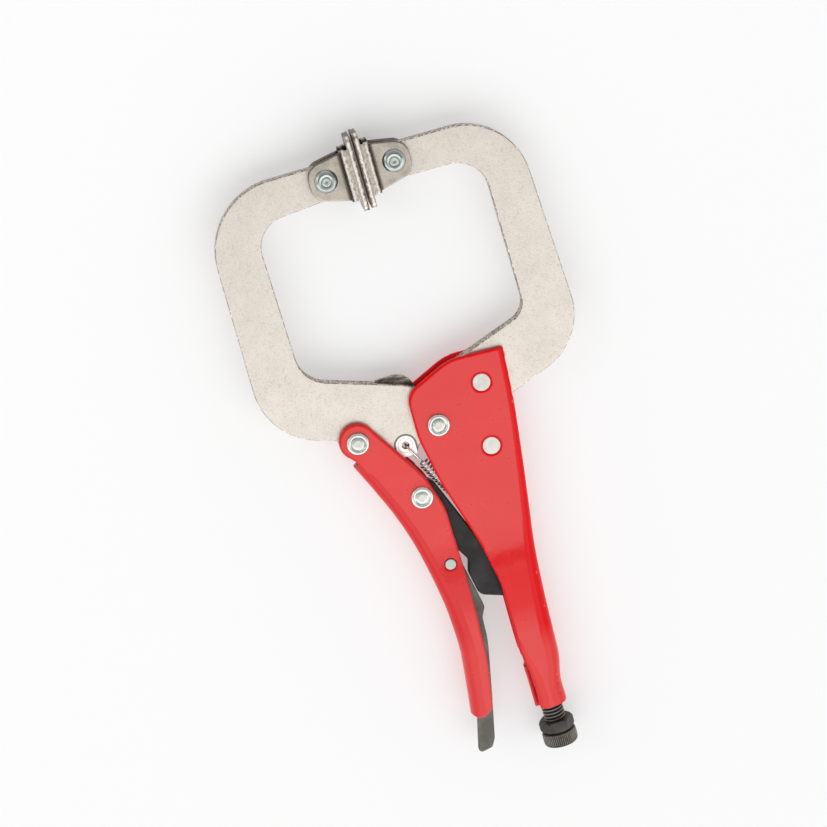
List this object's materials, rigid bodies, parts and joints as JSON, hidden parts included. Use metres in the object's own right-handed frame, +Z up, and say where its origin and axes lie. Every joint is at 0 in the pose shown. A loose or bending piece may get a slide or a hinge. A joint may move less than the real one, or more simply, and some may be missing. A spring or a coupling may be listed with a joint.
{
  "type": "locking c-clamp pliers",
  "caption": "Locking pliers with wide C-shaped clamp arms, swivelling pads, over-centre toggle, adjusting screw and release lever.",
  "frame": {"origin": "bottom centre of the bounding box, the tool lying flat with its jaws closed", "axes": "+Y along the tool from the adjusting knob to the jaws, +X towards the fixed jaw and fixed handle, +Z up, square to the flat of the tool"},
  "size_m": [0.1416, 0.2884, 0.02],
  "materials": {
    "red_enamel": "glossy red enamel over pressed steel",
    "nickel_arms": "satin nickel plate with a fine speckle, darker sheared edges",
    "nickel_pads": "nickel plate, brighter and crinkled at the bends",
    "black_oxide_link": "satin black oxide",
    "black_oxide_lever": "satin black oxide, greyer along the tail",
    "black_oxide_screw": "black oxide with a steel sheen on the crests",
    "zinc_rivets": "bright zinc plate",
    "flush_rivets": "matt pale grey steel, ground flush",
    "spring_steel": "bright drawn wire"
  },
  "bodies": {
    "fixed_side": {"fixed_handle": "red_enamel", "fixed_jaw": "nickel_arms", "fixed_jaw_rivet_front": "flush_rivets", "fixed_jaw_rivet_rear": "flush_rivets", "main_pivot_rivet": "zinc_rivets", "fixed_pad_rivet": "zinc_rivets", "extension_spring": "spring_steel"},
    "jaw": {"movable_jaw": "nickel_arms", "movable_pad_rivet": "zinc_rivets"},
    "handle": {"movable_handle": "red_enamel", "handle_pivot_rivet": "zinc_rivets", "link_pivot_rivet": "zinc_rivets", "release_lever_pin": "zinc_rivets"},
    "link": {"toggle_link": "black_oxide_link"},
    "lever": {"release_lever": "black_oxide_lever"},
    "jaw_pad": {"movable_pad": "nickel_pads"},
    "arm_pad": {"fixed_pad": "nickel_pads"},
    "nut": {"lock_nut": "black_oxide_screw"},
    "screw": {"adjusting_screw": "black_oxide_screw"}
  },
  "joints": [
    {"name": "jaw_pivot", "type": "hinge", "parent": "fixed_side", "child": "jaw", "pos_m": [0.00109, 0.01325, 0.01], "axis": [0, 0, 1], "range_deg": [0, 30], "deforming": ["extension_spring"]},
    {"name": "handle_pivot", "type": "hinge", "parent": "jaw", "child": "handle", "pos_m": [-0.03431, 0.01535, 0.01], "axis": [0, 0, 1], "range_deg": [-70.3, 0]},
    {"name": "link_pivot", "type": "hinge", "parent": "handle", "child": "link", "pos_m": [-0.01421, -0.01565, 0.01], "axis": [0, 0, 1], "range_deg": [0, 72.7]},
    {"name": "release_lever_pivot", "type": "hinge", "parent": "handle", "child": "lever", "pos_m": [-0.01031, -0.04815, 0.01], "axis": [0, 0, 1], "range_deg": [0, 9]},
    {"name": "movable_pad_swivel", "type": "hinge", "parent": "jaw", "child": "jaw_pad", "pos_m": [-0.01651, 0.12775, 0.01], "axis": [0, 0, 1], "range_deg": [-15, 0]},
    {"name": "fixed_pad_swivel", "type": "hinge", "parent": "fixed_side", "child": "arm_pad", "pos_m": [0.01309, 0.12825, 0.01], "axis": [0, 0, 1], "range_deg": [0, 15]},
    {"name": "screw_travel", "type": "slide", "parent": "fixed_side", "child": "nut", "axis": [0, 1, 0], "range_m": [-0.0119, 0]},
    {"name": "screw_turn", "type": "hinge", "parent": "nut", "child": "screw", "pos_m": [0.01589, -0.13475, 0.01], "axis": [0, 1, 0], "range_deg": [-2700, 0]}
  ],
  "couplings": [
    {"joint": "handle_pivot", "follows": "jaw_pivot", "ratio": -2.342},
    {"joint": "link_pivot", "follows": "jaw_pivot", "ratio": 2.422},
    {"joint": "release_lever_pivot", "follows": "jaw_pivot", "ratio": 0.3},
    {"joint": "movable_pad_swivel", "follows": "jaw_pivot", "ratio": -0.5},
    {"joint": "fixed_pad_swivel", "follows": "jaw_pivot", "ratio": 0.5},
    {"joint": "screw_turn", "follows": "screw_travel", "rad_per_m": 3957.9}
  ]
}
